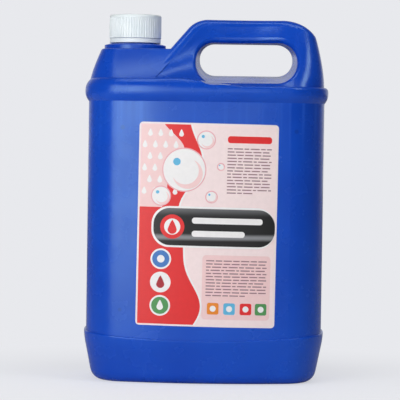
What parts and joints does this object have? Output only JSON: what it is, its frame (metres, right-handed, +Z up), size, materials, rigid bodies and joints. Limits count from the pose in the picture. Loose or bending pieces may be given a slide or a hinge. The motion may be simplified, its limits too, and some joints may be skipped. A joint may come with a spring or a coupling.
{
  "type": "bleach bottle",
  "caption": "Blow-moulded plastic bleach bottle with a carry handle moulded in the body, a ribbed screw cap on an offset neck and a plain printed front label.",
  "frame": {"origin": "centre of the base, on the plane the bottle stands on", "axes": "+Z up through the bottle, +X from the neck towards the handle, -Y out of the labelled front face"},
  "size_m": [0.1982, 0.1334, 0.2958],
  "materials": {
    "blue_shell": "semi-gloss blow-moulded polyethylene, blue",
    "white_cap": "moulded polypropylene, white, satin",
    "foam_liner": "closed-cell foam disc, white",
    "label_film": "printed self-adhesive film with a low gloss"
  },
  "bodies": {
    "bottle": {"bottle": "blue_shell", "tamper_ring": "white_cap", "front_label": "label_film"},
    "liner": {"cap_liner": "foam_liner"},
    "cap": {"screw_cap": "white_cap"}
  },
  "joints": [
    {"name": "cap_lift", "type": "slide", "parent": "bottle", "child": "liner", "axis": [0, 0, 1], "range_m": [0, 0.019]},
    {"name": "cap_turn", "type": "hinge", "parent": "liner", "child": "cap", "pos_m": [-0.0592, 0, 0.2863], "axis": [0, 0, 1], "range_deg": [0, 1620]}
  ],
  "couplings": [
    {"joint": "cap_turn", "follows": "cap_lift", "rad_per_m": 1485.4}
  ]
}
